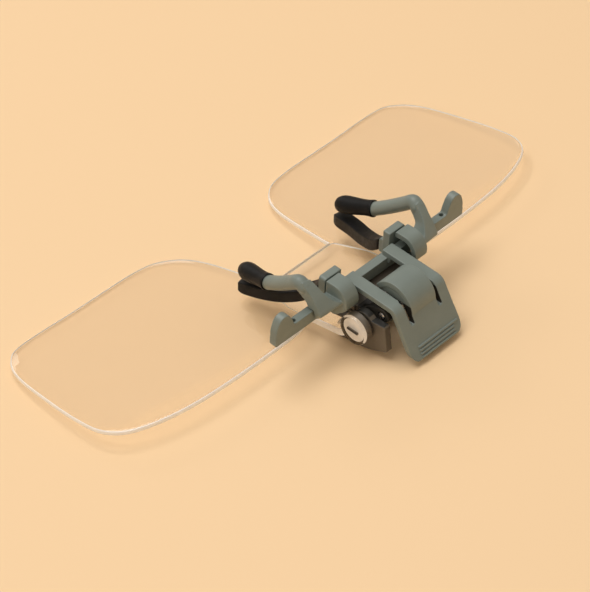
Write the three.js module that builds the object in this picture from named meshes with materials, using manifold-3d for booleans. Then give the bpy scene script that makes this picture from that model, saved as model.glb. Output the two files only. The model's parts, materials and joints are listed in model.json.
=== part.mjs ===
// Clip-on flip-up magnifier for spectacles, lying on a table on its lens plate.
// Millimetres, +Z up. X runs across the face, +Y from the thumb plate towards the nose.
import * as THREE from 'three';
import { mergeVertices } from 'three/addons/utils/BufferGeometryUtils.js';
import Module from 'manifold-3d';

const wasm = await Module();
wasm.setup();

// ---------------------------------------------------------------- driving dimensions

const CLIP_TILT = 8;            // degrees, the clip against the table
const LENS_DROP = 12;           // degrees, the lens plate against the clip
const GAP = 0.3;                // clearance between neighbouring pieces

// Clip frame: y = 0 on the bar's thumb-side face, z = 0 on the bar's top.
const PIVOT = { y: -8.6, z: -2.2 };     // the squeeze lever turns here
const FLIP = { y: -5.85, z: -4.55 };    // the lens holder turns here
const HOLDER = { y: -5.85, z: -3.65 };  // origin of the holder frame

const BAR = { depth: 1.7, height: 2.85, halfLength: 26.5 };
const HOOK = { notchX: 21.7, topX: 24.0, topZ: 3.7 };
const RAIL = { inner: 4.1, outer: 6.9, top: 1.35, thickness: 1.2, bendY: -11.8 };
const PLATE = { slope: 31.5, bottomZ: -8.7, thickness: 1.3 };
const HUMP = { y: -8.4, z: -1.4, radius: 4.95, wall: 1.2, halfWidth: 3.6 };
const SKIRT = { inner: 3.25, outer: 3.5, radius: 4.1, bottom: 0.3 };
const SLOT = { halfWidth: 0.4, endZ: -2.5 };
const RIB = { top: -6.4, pitch: 0.62, radius: 0.3, halfLength: 4.6 };
const LEVER_LUG = { inner: 4.1, outer: 5.3, radius: 1.9 };

const BASE_LUG = { inner: 5.6, outer: 6.85, pivotRadius: 1.95, flipRadius: 2.1 };
const NECK = { top: -3.4, bottom: -4.75, back: -4.2 };
const EAR = { inner: 6.8, outer: 11.3, front: 2.0, back: 3.7, top: 3.1 };
const PRONG = { inner: 7.0, outer: 9.3, reach: 14 };

const HUB = { inner: 8.0, outer: 11.4, y: -0.6, z: 0.0, radius: 3.3, hollow: 2.2, floor: 10.7 };
const ARM_RADIUS = 1.5;
const ARM_CORE = 1.15;
const TIP_RADIUS = 1.95;

const PIN = { radius: 0.75, reach: 6.85 };
const SPRING = { wire: 0.32, radius: 1.9, turns: 6, halfWidth: 2.6 };
const BOLT_RADIUS = 0.9;
const KNOB = { radius: 3.25, inner: 9.3, outer: 11.8, slotWidth: 0.6, slotDepth: 0.6 };
const NUT = { radius: 1.6, inner: 9.3, outer: 10.3 };
const WASHER = { left: 2.4, right: 1.9, inner: 8.85, outer: 9.15 };

// Holder frame: y along the lens plate, z square to it.
const LENS = { bottom: -4.0, lobeThickness: 2.2, bridgeThickness: 1.6 };
const TAB = { halfWidth: 11.5, back: 3.3 };
const CHEEK = { inner: 7.15, outer: 8.7, bottom: -7.1, back: 7.9, boss: 2.65 };
const MOUTH = { back: 2.9, bottom: -4.3, top: -2.1 };
const CAP = { halfWidth: 7.1, back: 3.3, front: 7.0, top: -0.95 };
const CAP_SCREW = { x: 3.6, y: 5.2, shank: 0.55, head: 1.1 };

// ---------------------------------------------------------------- materials

function plastic(color, roughness) {
  return new THREE.MeshStandardMaterial({ color, roughness, metalness: 0 });
}

const greyPlastic = plastic(0x6f7b76, 0.42);
const darkPlastic = plastic(0x4a4640, 0.45);
const blackRubber = plastic(0x1d1c1d, 0.6);
const clearAcrylic = plastic(0xe9f2ee, 0.05);
const steel = new THREE.MeshStandardMaterial({ color: 0xc2c4c6, roughness: 0.3, metalness: 1 });

// ---------------------------------------------------------------- solids

function solid(geometry) {
  const plain = geometry.clone();
  plain.deleteAttribute('normal');
  plain.deleteAttribute('uv');
  const merged = mergeVertices(plain, 1e-4);
  return new wasm.Manifold(new wasm.Mesh({
    numProp: 3,
    vertProperties: new Float32Array(merged.attributes.position.array),
    triVerts: new Uint32Array(merged.index.array),
  }));
}

function geometryOf(body) {
  const { vertProperties, triVerts } = body.getMesh();
  const geometry = new THREE.BufferGeometry();
  geometry.setAttribute('position', new THREE.BufferAttribute(vertProperties, 3));
  geometry.setIndex(new THREE.BufferAttribute(triVerts, 1));
  geometry.computeVertexNormals();
  return geometry;
}

function joined(...solids) {
  return solids.reduce((whole, piece) => whole.add(piece));
}

// The same body on the other side of x = 0.
function mirroredX(body) {
  const { vertProperties, triVerts } = body.getMesh();
  for (let i = 0; i < vertProperties.length; i += 3) vertProperties[i] *= -1;
  for (let i = 0; i < triVerts.length; i += 3) {
    [triVerts[i + 1], triVerts[i + 2]] = [triVerts[i + 2], triVerts[i + 1]];
  }
  return new wasm.Manifold(new wasm.Mesh({ numProp: 3, vertProperties, triVerts }));
}

function mesh(name, body, material) {
  const piece = new THREE.Mesh(geometryOf(body), material.clone());
  piece.name = name;
  return piece;
}

// A profile drawn in (y, z) and drawn out along X between two places.
const PROFILE_YZ = new THREE.Matrix4().makeBasis(
  new THREE.Vector3(0, 1, 0), new THREE.Vector3(0, 0, 1), new THREE.Vector3(1, 0, 0));

function alongX(shape, from, to, curveSegments = 10) {
  const low = Math.min(from, to);
  const depth = Math.abs(to - from);
  const geometry = new THREE.ExtrudeGeometry(shape, { depth, bevelEnabled: false, curveSegments });
  geometry.applyMatrix4(PROFILE_YZ);
  geometry.translate(low, 0, 0);
  return solid(geometry);
}

// A profile drawn in (x, z) and drawn out along Y between two places.
const PROFILE_XZ = new THREE.Matrix4().makeBasis(
  new THREE.Vector3(1, 0, 0), new THREE.Vector3(0, 0, 1), new THREE.Vector3(0, -1, 0));

function alongY(shape, from, to, curveSegments = 8) {
  const depth = Math.abs(to - from);
  const geometry = new THREE.ExtrudeGeometry(shape, { depth, bevelEnabled: false, curveSegments });
  geometry.applyMatrix4(PROFILE_XZ);
  geometry.translate(0, Math.max(from, to), 0);
  return solid(geometry);
}

function alongZ(shape, from, to, curveSegments = 8) {
  const geometry = new THREE.ExtrudeGeometry(
    shape, { depth: to - from, bevelEnabled: false, curveSegments });
  geometry.translate(0, 0, from);
  return solid(geometry);
}

function polygon(points) {
  return new THREE.Shape(points.map(([a, b]) => new THREE.Vector2(a, b)));
}

function disc(a, b, radius) {
  const shape = new THREE.Shape();
  shape.absarc(a, b, radius, 0, Math.PI * 2, false);
  return shape;
}

function box(x, y, z) {
  const geometry = new THREE.BoxGeometry(x[1] - x[0], y[1] - y[0], z[1] - z[0]);
  geometry.translate((x[0] + x[1]) / 2, (y[0] + y[1]) / 2, (z[0] + z[1]) / 2);
  return solid(geometry);
}

// The same stretch of x on the left (side = -1) or the right (side = 1).
function span(side, near, far) {
  return side > 0 ? [near, far] : [-far, -near];
}

function rod(points, radius, steps, sides) {
  const section = new THREE.Shape();
  for (let i = 0; i < sides; i += 1) {
    const angle = (i / sides) * Math.PI * 2;
    const x = radius * Math.cos(angle);
    const y = radius * Math.sin(angle);
    if (i === 0) section.moveTo(x, y);
    else section.lineTo(x, y);
  }
  section.closePath();
  const path = new THREE.CatmullRomCurve3(points.map((p) => new THREE.Vector3(...p)));
  return solid(new THREE.ExtrudeGeometry(
    section, { steps, extrudePath: path, bevelEnabled: false }));
}

// A turned body whose axis runs from one point towards another.
function turned(profile, from, to, sides = 20) {
  const geometry = new THREE.LatheGeometry(
    profile.map(([r, h]) => new THREE.Vector2(r, h)), sides);
  const direction = new THREE.Vector3(...to).sub(new THREE.Vector3(...from)).normalize();
  geometry.applyQuaternion(new THREE.Quaternion().setFromUnitVectors(
    new THREE.Vector3(0, 1, 0), direction));
  geometry.translate(...from);
  return solid(geometry);
}

// A body drawn through four-sided sections, each a list of four corners.
function lofted(sections) {
  const positions = sections.flat(2);
  const index = [];
  const last = (sections.length - 1) * 4;
  for (let s = 0; s < sections.length - 1; s += 1) {
    for (let i = 0; i < 4; i += 1) {
      const a = s * 4 + i;
      const b = s * 4 + ((i + 1) % 4);
      index.push(a, b, b + 4, a, b + 4, a + 4);
    }
  }
  index.push(0, 2, 1, 0, 3, 2, last, last + 1, last + 2, last, last + 2, last + 3);
  const geometry = new THREE.BufferGeometry();
  geometry.setAttribute('position', new THREE.Float32BufferAttribute(positions, 3));
  geometry.setIndex(index);
  return solid(geometry);
}

// ---------------------------------------------------------------- squeeze lever

const plateTan = Math.tan(THREE.MathUtils.degToRad(PLATE.slope));

// The thumb plate's outer face at a height.
function plateY(z) {
  return RAIL.bendY - (RAIL.top - z) * plateTan;
}

function thumbPlate() {
  const inset = PLATE.thickness / Math.cos(THREE.MathUtils.degToRad(PLATE.slope));
  const underside = RAIL.top - RAIL.thickness;
  const side = polygon([
    [RAIL.bendY, RAIL.top],
    [plateY(PLATE.bottomZ), PLATE.bottomZ],
    [plateY(PLATE.bottomZ) + inset, PLATE.bottomZ],
    [plateY(underside) + inset, underside],
    [0, underside],
    [0, RAIL.top],
  ]);
  const corner = 2.2;
  const low = PLATE.bottomZ;
  const edge = RAIL.outer;
  const front = new THREE.Shape();
  front.moveTo(-edge, RAIL.top + 1);
  front.lineTo(-edge, low + corner);
  front.quadraticCurveTo(-edge, low, -edge + corner, low);
  front.lineTo(edge - corner, low);
  front.quadraticCurveTo(edge, low, edge, low + corner);
  front.lineTo(edge, RAIL.top + 1);
  front.closePath();
  const sheet = alongX(side, -RAIL.outer, RAIL.outer).intersect(alongY(front, -20, 1));
  const opening = box([-RAIL.inner, RAIL.inner], [RAIL.bendY + 0.6, 1], [-1, 3]);
  const ribs = [0, 1, 2, 3].map((i) => {
    const z = RIB.top - i * RIB.pitch;
    return alongX(disc(plateY(z) + 0.1, z, RIB.radius), -RIB.halfLength, RIB.halfLength, 3);
  });
  return joined(sheet.subtract(opening), ...ribs);
}

function tongue() {
  const arc = new THREE.Shape();
  const start = THREE.MathUtils.degToRad(28);
  const end = THREE.MathUtils.degToRad(178);
  arc.absarc(HUMP.y, HUMP.z, HUMP.radius, start, end, false);
  arc.lineTo(plateY(SLOT.endZ - 1), SLOT.endZ - 1);
  arc.lineTo(plateY(SLOT.endZ - 1) + 1.3, SLOT.endZ - 1);
  arc.absarc(HUMP.y, HUMP.z, HUMP.radius - HUMP.wall, end, start, true);
  arc.closePath();
  return alongX(arc, -HUMP.halfWidth, HUMP.halfWidth, 14);
}

// Thin walls that close the sides of the tongue's arch.
function skirt(side) {
  const start = Math.asin((SKIRT.bottom - HUMP.z) / SKIRT.radius);
  const shape = new THREE.Shape();
  shape.absarc(HUMP.y, HUMP.z, SKIRT.radius, start, Math.PI - start, false);
  shape.closePath();
  return alongX(shape, ...span(side, SKIRT.inner, SKIRT.outer), 10);
}

function slots() {
  const cuts = [-1, 1].map((side) => {
    const centre = side * (HUMP.halfWidth + SLOT.halfWidth);
    return box(
      [centre - SLOT.halfWidth, centre + SLOT.halfWidth], [-16.5, -11], [SLOT.endZ, 3]);
  });
  return joined(...cuts);
}

function hookProfile(side) {
  const points = [
    [HOOK.notchX - 1.5, -BAR.height],
    [BAR.halfLength, -BAR.height],
    [BAR.halfLength - 0.2, 1.9],
    [25.1, 3.2],
    [HOOK.topX + 0.5, HOOK.topZ],
    [HOOK.topX - 0.5, HOOK.topZ - 0.1],
    [22.7, 3.1],
    [22.1, 1.6],
    [HOOK.notchX, 0],
    [HOOK.notchX - 1.5, 0],
  ];
  return polygon(points.map(([x, z]) => [side * x, z]));
}

function leverLug(side) {
  const boss = alongX(disc(PIVOT.y, PIVOT.z, LEVER_LUG.radius), ...span(
    side, LEVER_LUG.inner, LEVER_LUG.outer));
  const web = box(
    span(side, LEVER_LUG.inner, LEVER_LUG.outer),
    [PIVOT.y - LEVER_LUG.radius, PIVOT.y + LEVER_LUG.radius],
    [PIVOT.z, RAIL.top - RAIL.thickness + 0.3]);
  return boss.add(web);
}

function thumbLever() {
  const bar = box(
    [-HOOK.notchX, HOOK.notchX], [0, BAR.depth], [-BAR.height, 0]);
  const shoulder = box([-RAIL.outer, RAIL.outer], [-0.6, BAR.depth], [-1.2, 0]);
  const hooks = [-1, 1].map((side) => {
    const hole = turned(
      [[0, -1], [0.45, -1], [0.45, 2], [0, 2]],
      [side * (HOOK.notchX - 0.8), BAR.depth - 0.75, -1],
      [side * (HOOK.notchX - 0.8), BAR.depth - 0.75, 1], 10);
    return alongY(hookProfile(side), 0, BAR.depth).subtract(hole);
  });
  const railRoots = [-1, 1].map((side) => box(
    span(side, RAIL.inner, RAIL.outer), [-0.8, BAR.depth], [-1.0, RAIL.top]));
  const notchHoles = [-1, 1].map((side) => turned(
    [[0, -2], [0.45, -2], [0.45, 2], [0, 2]],
    [side * (HOOK.notchX - 0.8), BAR.depth - 0.75, 0],
    [side * (HOOK.notchX - 0.8), BAR.depth - 0.75, 1], 10));
  const bores = [-1, 1].map((side) => alongX(
    disc(PIVOT.y, PIVOT.z, PIN.radius + GAP), ...span(side, 3.9, 5.5)));
  return joined(
    bar.subtract(joined(...notchHoles)), shoulder, ...hooks, ...railRoots,
    thumbPlate().subtract(slots()), tongue(), skirt(-1), skirt(1), leverLug(-1), leverLug(1),
  ).subtract(joined(...bores));
}

// ---------------------------------------------------------------- upper arms and their tips

const SLEEVE_START = [15.0, 13.4, -2.6];
const SLEEVE_END = [13.75, 20.3, -5.1];

function onSide(side, [x, y, z]) {
  return [side * x, y, z];
}

function gusset(side) {
  const sections = [
    [[11.0, -2.7, 0.2], [16.2, -1.8, -0.9], [16.2, 0.5, -2.9], [11.1, 0.5, -2.9]],
    [[11.1, -2.9, 0.7], [16.6, -2.0, -0.2], [16.7, 1.0, -0.5], [11.1, 1.4, 0.2]],
    [[12.8, -1.9, 1.5], [16.6, -0.9, 1.6], [16.8, 1.4, 0.9], [12.9, 1.5, 0.9]],
    [[13.9, -0.6, 2.9], [16.6, 0.4, 3.2], [16.8, 2.5, 1.9], [14.1, 1.9, 1.7]],
    [[14.5, 1.1, 4.5], [16.8, 1.7, 4.5], [17.0, 3.5, 2.8], [14.6, 3.2, 2.8]],
    [[14.85, 2.5, 5.45], [16.8, 2.75, 5.4], [17.05, 4.6, 3.5], [14.8, 4.4, 3.45]],
  ].map((corners) => corners.map((corner) => onSide(side, corner)));
  const wound = side < 0 ? sections.map((corners) => [...corners].reverse()) : sections;
  return lofted(wound);
}

function hubProfile() {
  const shape = new THREE.Shape();
  shape.moveTo(1.6, 3.0);
  shape.lineTo(0.4, 3.3);
  shape.absarc(HUB.y, HUB.z, HUB.radius, Math.PI * 0.5, Math.PI * 1.04, false);
  shape.lineTo(-2.9, -1.6);
  shape.lineTo(-0.9, -3.9);
  shape.lineTo(1.2, -3.9);
  shape.lineTo(1.6, -3.2);
  shape.closePath();
  return shape;
}

function hubHollow() {
  const shape = new THREE.Shape();
  shape.moveTo(2.5, 2.0);
  shape.absarc(HUB.y, HUB.z, HUB.hollow, Math.PI * 0.45, Math.PI * 1.04, false);
  shape.lineTo(-2.3, -1.3);
  shape.lineTo(-0.6, -3.1);
  shape.lineTo(2.5, -3.1);
  shape.closePath();
  return shape;
}

function upperArm(side) {
  if (side > 0) return mirroredX(upperArm(-side));
  const hub = alongX(hubProfile(), ...span(side, HUB.inner, HUB.outer), 8).subtract(
    alongX(hubHollow(), ...span(side, HUB.inner - 1, HUB.floor), 8));
  const elbow = [
    [15.9, 2.9, 4.1], [16.0, 3.7, 4.5], [15.9, 5.6, 3.2], [15.5, 9.6, 0.0],
    [15.05, 13.2, -2.5],
  ].map((point) => onSide(side, point));
  const arm = rod(elbow, ARM_RADIUS, 12, 12);
  const core = rod(
    [SLEEVE_START, SLEEVE_END].map((point) => onSide(side, point)), ARM_CORE, 2, 10);
  const knuckle = new THREE.SphereGeometry(ARM_RADIUS * 1.02, 14, 10);
  knuckle.translate(...onSide(side, [15.95, 3.3, 4.35]));
  const channel = box(
    [Math.min(side * 5, side * 24), Math.max(side * 5, side * 24)],
    [-GAP, BAR.depth + 1], [-BAR.height - GAP, GAP]);
  return joined(hub, gusset(side), arm, core, solid(knuckle)).subtract(channel);
}

function upperTip(side) {
  const from = onSide(side, SLEEVE_START);
  const to = onSide(side, SLEEVE_END);
  const length = new THREE.Vector3(...from).distanceTo(new THREE.Vector3(...to));
  const bulb = TIP_RADIUS;
  const profile = [
    [0, -0.2], [1.72, -0.2], [1.85, 0.2], [1.7, 1.6], [1.72, 3.0], [bulb - 0.1, 4.6],
    [bulb, 6.2], [bulb - 0.15, 7.4], [1.55, 8.4], [0.85, 9.1], [0, 9.35],
  ];
  const cavity = [
    [0, -1], [ARM_CORE + GAP, -1], [ARM_CORE + GAP, length + GAP], [0, length + GAP],
  ];
  const collar = turned(
    [[0, -2], [ARM_RADIUS + GAP, -2], [ARM_RADIUS + GAP, 0.05], [0, 0.05]], from, to, 14);
  return turned(profile, from, to, 16)
    .subtract(turned(cavity, from, to, 14))
    .subtract(collar);
}

// ---------------------------------------------------------------- base with the lower claws

function baseLug(side) {
  const x = span(side, BASE_LUG.inner, BASE_LUG.outer);
  const pivotBoss = alongX(disc(PIVOT.y, PIVOT.z, BASE_LUG.pivotRadius), ...x);
  const flipBoss = alongX(disc(FLIP.y, FLIP.z, BASE_LUG.flipRadius), ...x);
  const web = alongX(polygon([
    [PIVOT.y, PIVOT.z - 1.9], [FLIP.y, FLIP.z - 2.0], [-3.0, NECK.bottom],
    [3.2, NECK.bottom], [3.2, NECK.top], [-3.6, NECK.top], [FLIP.y, -1.6],
    [PIVOT.y, PIVOT.z + 1.2],
  ]), ...x);
  return joined(pivotBoss, flipBoss, web);
}

function ear(side) {
  const bottom = NECK.bottom;
  const shape = new THREE.Shape();
  const near = EAR.inner;
  const far = EAR.outer;
  const round = 1.2;
  shape.moveTo(side * near, bottom);
  shape.lineTo(side * far, bottom);
  shape.lineTo(side * far, EAR.top - round);
  shape.quadraticCurveTo(side * far, EAR.top, side * (far - round), EAR.top);
  shape.lineTo(side * near, EAR.top);
  shape.closePath();
  return alongY(shape, EAR.front, EAR.back);
}

const PRONG_PATH = [
  [8.3, 4.0, -1.3], [9.6, 7.8, -4.7], [11.3, 12.0, -7.0], [12.8, 16.5, -8.3],
  [13.9, 21.9, -9.4],
];

function prong(side) {
  const root = box(
    span(side, PRONG.inner, PRONG.outer), [EAR.back - 0.2, 4.7], [-3.0, 0.5]);
  const count = PRONG_PATH.length - 1;
  const path = PRONG_PATH.slice(0, count).map((point) => onSide(side, point));
  return root.add(rod(path, 0.75, 8, 8));
}

function clipBase() {
  const neck = box(
    [-BASE_LUG.outer, BASE_LUG.outer], [NECK.back, EAR.back], [NECK.bottom, NECK.top]);
  const crossBar = box([-EAR.outer, EAR.outer], [EAR.front, EAR.back], [NECK.bottom, -2.5]);
  const bores = [-1, 1].map((side) => {
    const x = span(side, 5, 7.2);
    return joined(
      alongX(disc(PIVOT.y, PIVOT.z, PIN.radius + GAP), ...x),
      alongX(disc(FLIP.y, FLIP.z, BOLT_RADIUS + GAP), ...x));
  });
  return joined(
    neck, crossBar, baseLug(-1), baseLug(1), ear(-1), ear(1), prong(-1), prong(1),
  ).subtract(joined(...bores));
}

// A rubber strip on edge: tall in z, bowed outwards in plan.
function lowerPad(side) {
  const half = { width: 1.45, low: 1.5, high: 1.4 };
  const path = PRONG_PATH.map((point) => new THREE.Vector3(...onSide(side, point)));
  path[0].set(side * 8.65, 5.0, -2.1);
  const curve = new THREE.CatmullRomCurve3(path);
  const sections = [];
  const steps = 14;
  for (let i = 0; i <= steps; i += 1) {
    const at = curve.getPoint(i / steps);
    const ahead = curve.getTangent(i / steps);
    const taper = i === steps ? 0.6 : 1;
    const across = new THREE.Vector3(ahead.y, -ahead.x, 0).normalize()
      .multiplyScalar(half.width * taper);
    const low = at.z - half.low * taper;
    const high = at.z + half.high * taper;
    sections.push([
      [at.x - across.x, at.y - across.y, low], [at.x - across.x, at.y - across.y, high],
      [at.x + across.x, at.y + across.y, high], [at.x + across.x, at.y + across.y, low],
    ]);
  }
  const strip = lofted(sections);
  const cavityPath = PRONG_PATH.slice(0, PRONG_PATH.length - 1)
    .map((point) => onSide(side, point));
  const beyond = onSide(side, [13.0, 17.1, -8.6]);
  return strip.subtract(rod([...cavityPath, beyond], 0.75 + GAP, 10, 8));
}

// ---------------------------------------------------------------- pins, spring and knobs

function pin(centre, radius, from, to) {
  return alongX(disc(centre.y, centre.z, radius), from, to, 8);
}

function torsionSpring() {
  const points = [];
  const perTurn = 12;
  const total = SPRING.turns * perTurn;
  for (let i = 0; i <= total; i += 1) {
    const angle = Math.PI * 0.5 + (i / perTurn) * Math.PI * 2;
    points.push([
      -SPRING.halfWidth + (2 * SPRING.halfWidth * i) / total,
      PIVOT.y + SPRING.radius * Math.cos(angle),
      PIVOT.z + SPRING.radius * Math.sin(angle),
    ]);
  }
  points.unshift([-SPRING.halfWidth, -4.6, PIVOT.z + SPRING.radius - 0.9]);
  points.push([SPRING.halfWidth, -11.4, PIVOT.z + SPRING.radius - 0.5]);
  return rod(points, SPRING.wire, total + 8, 6);
}

function knob(side) {
  const [low, high] = span(side, KNOB.inner, KNOB.outer);
  const body = pin(FLIP, KNOB.radius, low, high);
  const face = side > 0 ? [high - KNOB.slotDepth, high + 1] : [low - 1, low + KNOB.slotDepth];
  const slot = box(
    face, [FLIP.y - KNOB.radius * 0.62, FLIP.y + KNOB.radius * 0.62],
    [FLIP.z - KNOB.slotWidth / 2, FLIP.z + KNOB.slotWidth / 2]);
  const bore = pin(FLIP, BOLT_RADIUS + 0.15, ...span(side, KNOB.inner - 1, KNOB.outer - 1.2));
  return body.subtract(slot).subtract(bore);
}

// A six-sided nut with a plain bore.
function nut() {
  const corners = [0, 1, 2, 3, 4, 5].map((i) => {
    const angle = (i / 6) * Math.PI * 2;
    return [FLIP.y + NUT.radius * Math.cos(angle), FLIP.z + NUT.radius * Math.sin(angle)];
  });
  return alongX(polygon(corners), NUT.inner, NUT.outer)
    .subtract(pin(FLIP, BOLT_RADIUS + 0.15, NUT.inner - 1, NUT.outer + 1));
}

function washer(side) {
  const [low, high] = span(side, WASHER.inner, WASHER.outer);
  return pin(FLIP, side < 0 ? WASHER.left : WASHER.right, low, high)
    .subtract(pin(FLIP, BOLT_RADIUS + GAP, low - 1, high + 1));
}

// ---------------------------------------------------------------- lens holder and lens plate

// The flip axis, seen in the holder frame.
const dropAngle = THREE.MathUtils.degToRad(LENS_DROP);
const hinge = {
  y: (FLIP.y - HOLDER.y) * Math.cos(dropAngle) - (FLIP.z - HOLDER.z) * Math.sin(dropAngle),
  z: (FLIP.y - HOLDER.y) * Math.sin(dropAngle) + (FLIP.z - HOLDER.z) * Math.cos(dropAngle),
};

function cheek(side) {
  const shape = new THREE.Shape();
  shape.moveTo(CHEEK.back, CHEEK.bottom);
  shape.lineTo(CHEEK.back, -1.75);
  shape.lineTo(hinge.y + CHEEK.boss, -1.2);
  shape.absarc(hinge.y, hinge.z, CHEEK.boss, 0.02, Math.PI * 0.84, false);
  shape.lineTo(-5.1, 0.28);
  shape.lineTo(-5.45, -0.1);
  shape.lineTo(-5.15, -5.75);
  shape.lineTo(-0.6, CHEEK.bottom + 0.15);
  shape.lineTo(0.6, CHEEK.bottom);
  shape.closePath();
  return alongX(shape, ...span(side, CHEEK.inner, CHEEK.outer), 8);
}

function lensHolder() {
  const jaw = box(
    [-CHEEK.outer, CHEEK.outer], [MOUTH.back + 0.1, CHEEK.back], [CHEEK.bottom, MOUTH.bottom]);
  const mouth = box([-20, 20], [MOUTH.back, 12], [MOUTH.bottom, MOUTH.top]);
  const bolts = pin(hinge, BOLT_RADIUS + GAP, -12, 12);
  const screws = joined(...[-1, 1].map((side) => capScrewBore(side)));
  return joined(cheek(-1), cheek(1), jaw).subtract(joined(mouth, bolts, screws));
}

function capScrewBore(side) {
  const x = side * CAP_SCREW.x;
  return alongZ(disc(x, CAP_SCREW.y, CAP_SCREW.shank + GAP), -6.4, 0, 5);
}

function capScrew(side) {
  const x = side * CAP_SCREW.x;
  const shank = alongZ(disc(x, CAP_SCREW.y, CAP_SCREW.shank), -6.0, -1.4, 5);
  const head = alongZ(disc(x, CAP_SCREW.y, CAP_SCREW.head), -1.6, -1.0, 6);
  return shank.add(head);
}

function holderCap() {
  const plate = box(
    [-CAP.halfWidth, CAP.halfWidth], [CAP.back, CAP.front], [MOUTH.top, CAP.top]);
  const bores = [-1, 1].map((side) => {
    const x = side * CAP_SCREW.x;
    return capScrewBore(side).add(
      alongZ(disc(x, CAP_SCREW.y, CAP_SCREW.head + GAP), -1.9, 0, 6));
  });
  return plate.subtract(joined(...bores));
}

function lobeShape(side) {
  const points = [
    [8.6, 30.0], [8.3, 24.0], [9.6, 16.0], [13.5, 11.2], [21.0, 10.1], [36.0, 10.2],
    [47.0, 11.5], [55.5, 14.6], [59.3, 19.2], [60.0, 26.0], [59.5, 35.0], [58.2, 45.2],
    [55.6, 50.6], [51.0, 52.9], [37.0, 52.7], [20.8, 52.3], [14.4, 49.6], [10.7, 43.4],
  ].map(([x, y]) => new THREE.Vector3(side * x, y, 0));
  const outline = new THREE.CatmullRomCurve3(points, true, 'catmullrom', 0.5).getPoints(72);
  return new THREE.Shape(outline.slice(0, -1).map((p) => new THREE.Vector2(p.x, p.y)));
}

function lensPlate() {
  const bottom = LENS.bottom;
  const lobes = [-1, 1].map((side) => alongZ(
    lobeShape(side), bottom, bottom + LENS.lobeThickness));
  const round = 1.2;
  const { halfWidth, back } = TAB;
  const bridge = new THREE.Shape();
  bridge.moveTo(-halfWidth + round, back);
  bridge.lineTo(halfWidth - round, back);
  bridge.quadraticCurveTo(halfWidth, back, halfWidth, back + round);
  bridge.lineTo(halfWidth, 18);
  bridge.lineTo(9.5, 26.2);
  bridge.lineTo(-9.5, 26.2);
  bridge.lineTo(-halfWidth, 18);
  bridge.lineTo(-halfWidth, back + round);
  bridge.quadraticCurveTo(-halfWidth, back, -halfWidth + round, back);
  const plate = alongZ(bridge, bottom, bottom + LENS.bridgeThickness);
  const holes = [-1, 1].map((side) => capScrewBore(side));
  return joined(plate, ...lobes).subtract(joined(...holes));
}

// ---------------------------------------------------------------- assembly

const clip = new THREE.Group();
clip.rotation.x = THREE.MathUtils.degToRad(CLIP_TILT);

clip.add(
  mesh('clip_base', clipBase(), greyPlastic),
  mesh('thumb_lever', thumbLever(), greyPlastic),
  mesh('pivot_pin', pin(PIVOT, PIN.radius, -PIN.reach, PIN.reach), steel),
  mesh('torsion_spring', torsionSpring(), steel),
);

for (const [side, hand] of [[-1, 'left'], [1, 'right']]) {
  clip.add(
    mesh(`upper_arm_${hand}`, upperArm(side), greyPlastic),
    mesh(`upper_tip_${hand}`, upperTip(side), blackRubber),
    mesh(`lower_pad_${hand}`, lowerPad(side), blackRubber),
    mesh(`hinge_bolt_${hand}`, pin(
      FLIP, BOLT_RADIUS, ...span(side, BASE_LUG.inner, KNOB.outer - 1.35)), steel),
    mesh(`hinge_washer_${hand}`, washer(side), steel),
  );
}

clip.add(
  mesh('hinge_knob_left', knob(-1), clearAcrylic),
  mesh('hinge_nut_right', nut(), steel),
);

const lens = new THREE.Group();
lens.position.set(0, HOLDER.y, HOLDER.z);
lens.rotation.x = -dropAngle;
lens.add(
  mesh('lens_holder', lensHolder(), darkPlastic),
  mesh('holder_cap', holderCap(), darkPlastic),
  mesh('cap_screw_left', capScrew(-1), steel),
  mesh('cap_screw_right', capScrew(1), steel),
  mesh('lens_plate', lensPlate(), clearAcrylic),
);
clip.add(lens);

// The origin is the middle of the footprint, on the table.
const magnifier = new THREE.Group();
magnifier.add(clip);
magnifier.updateMatrixWorld(true);
const bounds = new THREE.Box3().setFromObject(magnifier, true);
clip.position.y -= (bounds.min.y + bounds.max.y) / 2;
clip.position.z -= bounds.min.z;
magnifier.updateMatrixWorld(true);

export default magnifier;
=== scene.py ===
"""Clip-on flip-up magnifier: the looks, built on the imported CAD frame.

Pieces are drawn in millimetres, in the clip's own frame or the lens holder's.
Placing a piece moves it to the part's frame, in metres.
"""

import json
import math

import bpy
from mathutils import Matrix, Vector


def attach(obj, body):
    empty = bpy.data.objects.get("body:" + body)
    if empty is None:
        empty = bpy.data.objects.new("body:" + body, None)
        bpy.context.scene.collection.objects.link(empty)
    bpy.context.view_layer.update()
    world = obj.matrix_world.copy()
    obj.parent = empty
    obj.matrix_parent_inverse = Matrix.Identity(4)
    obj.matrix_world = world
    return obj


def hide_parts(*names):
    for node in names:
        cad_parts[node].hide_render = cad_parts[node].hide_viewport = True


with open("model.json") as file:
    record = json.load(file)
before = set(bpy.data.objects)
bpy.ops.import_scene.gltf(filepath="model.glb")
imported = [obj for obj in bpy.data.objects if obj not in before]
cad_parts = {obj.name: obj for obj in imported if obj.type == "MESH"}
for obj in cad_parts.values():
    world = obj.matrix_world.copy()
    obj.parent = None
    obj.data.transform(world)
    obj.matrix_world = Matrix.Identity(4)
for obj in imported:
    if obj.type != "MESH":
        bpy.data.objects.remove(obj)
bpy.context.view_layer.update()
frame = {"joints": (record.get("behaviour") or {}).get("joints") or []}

scene = bpy.context.scene

# ---------------------------------------------------------------- frames

LEFT, RIGHT = -1, 1
SIDES = (LEFT, RIGHT)
MM = 0.001

CLIP_TILT = math.radians(8)
LENS_DROP = math.radians(12)

# (y, z) of the lever's axis, the flip axis and the holder's origin, in the clip's frame.
PIVOT = (-8.6, -2.2)
FLIP = (-5.85, -4.55)
HOLDER = (-5.85, -3.65)
# (y, z) of the flip axis in the holder's frame.
HINGE = (0.187, -0.880)


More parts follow.
